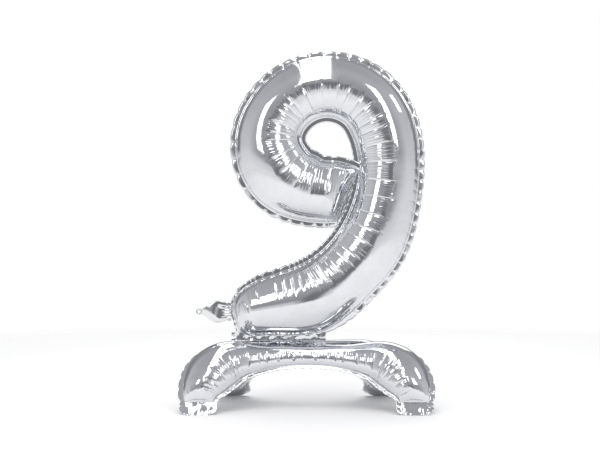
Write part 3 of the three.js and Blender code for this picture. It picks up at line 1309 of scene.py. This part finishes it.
SIDE_WALLS = Wall(
    [(0.0, "#f8f8f9"), (0.15, "#ececee"), (0.26, "#dadbdd"), (0.5, "#cfd0d3"), (1.0, "#b0b1b4")]
)
FRONT_WALL = Wall(
    [(0.0, "#f8f8f9"), (0.15, "#e0e0e3"), (0.22, "#a2a3a6"), (0.5, "#aeafb2"), (1.0, "#c8c9cc")],
    (-0.35, -0.95),
)
REAR_WALL = Wall(
    [(0.0, "#f8f8f9"), (0.14, "#dedee0"), (0.21, "#86878a"), (0.5, "#939497"), (1.0, "#b0b1b4")],
    (0.2, 0.55),
)
BEHIND_CAMERA = Wall([(0.0, "#808184"), (1.0, "#808184")], (-0.962, -0.997))


def aimed(
    name: str, data: bpy.types.ID, place: tuple[float, ...], target: tuple[float, ...]
) -> bpy.types.Object:
    """Adds a light or a camera that points at a target.

    Args:
        name: the object's name.
        data: the light or the camera.
        place: where it stands.
        target: what it points at.

    Returns:
        The new object.
    """
    made = bpy.data.objects.new(name, data)
    made.location = place
    aim = Vector(target) - Vector(place)
    made.rotation_euler = aim.to_track_quat("-Z", "Y").to_euler()
    bpy.context.scene.collection.objects.link(made)
    return made


@dataclass
class Studio:
    """The floor, the soft lights and the camera."""

    floor_size: float = 6.0
    floor_clear: tuple[float, float] = (1.3, 2.6)  # the floor fades out between these radii
    floor_colour: str = "#f4f4f5"
    ambient: float = 0.85
    camera_place: tuple[float, float, float] = (0.0, -2.4, 0.364)
    camera_target: tuple[float, float, float] = (-0.0154, 0.0, 0.4257)
    lens: float = 60.6
    sensor: float = 36.0

    def floor(self) -> None:
        """A plain pale floor that fades into the white room, as a studio sweep does."""
        bm = bmesh.new()
        bmesh.ops.create_grid(bm, x_segments=8, y_segments=8, size=self.floor_size / 2)
        material, tree = new_material("pale_painted_floor")
        paint = add_node(
            tree,
            "BsdfPrincipled",
            {"Base Color": linear(self.floor_colour), "Roughness": 0.75},
        )
        place = add_node(tree, "TexCoord")
        radius = add_node(
            tree, "VectorMath", {0: place.outputs["Object"]}, {"operation": "LENGTH"}
        )
        near, far = self.floor_clear
        fade = add_node(
            tree,
            "MapRange",
            {"Value": radius.outputs["Value"], "From Min": near, "From Max": far},
            {"interpolation_type": "SMOOTHSTEP"},
        )
        clear = add_node(tree, "BsdfTransparent")
        mixed = add_node(
            tree,
            "MixShader",
            {0: fade.outputs["Result"], 1: paint.outputs["BSDF"], 2: clear.outputs["BSDF"]},
        )
        add_node(tree, "OutputMaterial", {"Surface": mixed.outputs["Shader"]})
        new_object("studio_floor", bm, material)

    def softbox(
        self,
        name: str,
        place: tuple[float, float, float],
        size: tuple[float, float],
        power: float,
        target: tuple[float, float, float] = (0.0, 0.0, 0.45),
    ) -> None:
        """A rectangular soft light that the camera doesn't see.

        Args:
            name: the light's name.
            place: where it stands.
            size: its width and height.
            power: its power in watts.
            target: what it points at.
        """
        light = bpy.data.lights.new(name, "AREA")
        light.shape = "RECTANGLE"
        light.size, light.size_y = size
        light.energy = power
        aimed(name, light, place, target).visible_camera = False

    def lights(self) -> None:
        """Soft boxes round the object for the foil to mirror."""
        self.softbox("overhead_box", (-0.20, -1.35, 2.6), (0.72, 6.1), 34, (-0.20, -1.35, 0.0))
        self.softbox("left_box", (-1.40, -2.30, 1.62), (0.62, 1.35), 8, (0.0, 0.0, 1.62))
        self.softbox("right_box", (1.31, -2.36, 1.78), (0.55, 1.85), 9, (0.0, 0.0, 1.78))
        self.softbox("high_box", (2.0, -0.5, 1.95), (0.42, 0.5), 3)
        self.softbox("rear_box", (0.3, 2.6, 1.9), (2.4, 1.2), 12)

    def room(self) -> None:
        """The world: white to the camera, and a grey room with a dark front in reflections."""
        world = bpy.data.worlds.new("studio_room")
        bpy.context.scene.world = world
        world.use_nodes = True
        tree = world.node_tree
        tree.nodes.clear()
        direction = add_node(tree, "TexCoord")
        split = add_node(tree, "SeparateXYZ", {"Vector": direction.outputs["Generated"]})
        height = add_node(
            tree, "MapRange", {"Value": split.outputs["Z"], "From Min": -0.2, "From Max": 1.0}
        )
        layers = []
        for wall in (SIDE_WALLS, FRONT_WALL, REAR_WALL, BEHIND_CAMERA):
            ramp = add_node(tree, "ValToRGB", {"Fac": height.outputs["Result"]})
            ramp_stops(ramp, wall.greys)
            if wall.turn is None:
                colour = ramp.outputs["Color"]
                continue
            start, full = wall.turn
            share = add_node(
                tree,
                "MapRange",
                {"Value": split.outputs["Y"], "From Min": start, "From Max": full},
                {"interpolation_type": "SMOOTHSTEP"},
            )
            layers.append((share.outputs["Result"], ramp.outputs["Color"]))
        rays = add_node(tree, "LightPath")
        layers.append((rays.outputs["Is Camera Ray"], (1, 1, 1, 1)))
        layers.append((rays.outputs["Is Diffuse Ray"], (self.ambient,) * 3 + (1,)))
        for share, over in layers:
            mixed = add_node(tree, "Mix", {0: share, 6: colour, 7: over}, {"data_type": "RGBA"})
            colour = mixed.outputs[2]
        light = add_node(tree, "Background", {"Color": colour, "Strength": 1.0})
        add_node(tree, "OutputWorld", {"Surface": light.outputs["Background"]})

    def camera(self) -> None:
        """The camera, at eye height for the lower half of the object."""
        data = bpy.data.cameras.new("studio_camera")
        data.lens = self.lens
        data.sensor_width = self.sensor
        made = aimed("studio_camera", data, self.camera_place, self.camera_target)
        bpy.context.scene.camera = made

    def build(self) -> None:
        """Sets up the whole studio."""
        self.camera()
        self.floor()
        self.lights()
        self.room()
        bpy.context.scene.view_settings.view_transform = "Standard"


# ---- Assembly --------------------------------------------------------------------------------

HINGE_HEIGHT = 150 * MM  # of both arches' upper edges
HINGE_OUT = 3 * MM  # how far each edge is from the figure's plane
FRONT_TILT = -45.5
REAR_TILT = 45
CREASE_OUT = 1.2 * MM  # how far each neck's crease is out from its chamber's film
FIGURE_NECK_HEIGHT = 220 * MM
BASE_NECK_DOWN = 100 * MM  # from the rear arch's upper edge


def main() -> None:
    """Builds every piece in order."""
    logging.basicConfig(level=logging.INFO, format="%(name)s: %(message)s")
    Studio().build()
    film = MetallisedFilm().material()
    clear = ClearSleeve().material()
    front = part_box("joining_web_front_film")[0]
    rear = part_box("joining_web_rear_film")[1]
    plane = (front.y + rear.y) / 2
    upright = Matrix.Translation((0, plane, 0))

    Figure(place=upright).build(film, "figure")
    arch("front_arch", FRONT_TILT, (plane - HINGE_OUT, HINGE_HEIGHT), 21).build(film, "base")
    rear_arch = arch("rear_arch", REAR_TILT, (plane + HINGE_OUT, HINGE_HEIGHT), 33)
    rear_arch.build(film, "rear_arch")

    web = Web("joining_web", seed=41, place=upright, crumple=0.9 * MM, wave=(15 * MM, 60 * MM))
    for piece in web.build(film, "silver_film"):
        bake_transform(piece)

    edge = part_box("figure_neck_front_film")[1].x
    crease = Matrix.Translation((edge + CREASE_OUT, plane, FIGURE_NECK_HEIGHT))
    neck = Neck("figure_neck", seed=51, place=crease, crumple=0.8 * MM, wave=(18 * MM, 44 * MM))
    neck.hang(film, ("figure", "figure_neck"), (3 * MM, -6 * MM))
    valve = Valve("figure_valve", seed=61, place=crease, crumple=0.5 * MM)
    for piece in valve.build(clear, "clear_film"):
        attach(piece, "figure")

    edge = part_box("rear_arch_front_film")[0].x
    crease = rear_arch.place @ Matrix.Translation((edge - CREASE_OUT, 0, -BASE_NECK_DOWN))
    neck = Neck("base_neck", seed=52, place=crease, length=26 * MM, half=15 * MM, root=3 * MM)
    neck.hang(film, ("rear_arch", "base_neck"), (2 * MM, -5 * MM))
    valve = Valve(
        "base_valve", seed=62, place=crease, crumple=0.4 * MM, length=62 * MM, half=12 * MM
    )
    for piece in valve.build(clear, "clear_film"):
        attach(piece, "rear_arch")


if __name__ == "__main__":
    main()
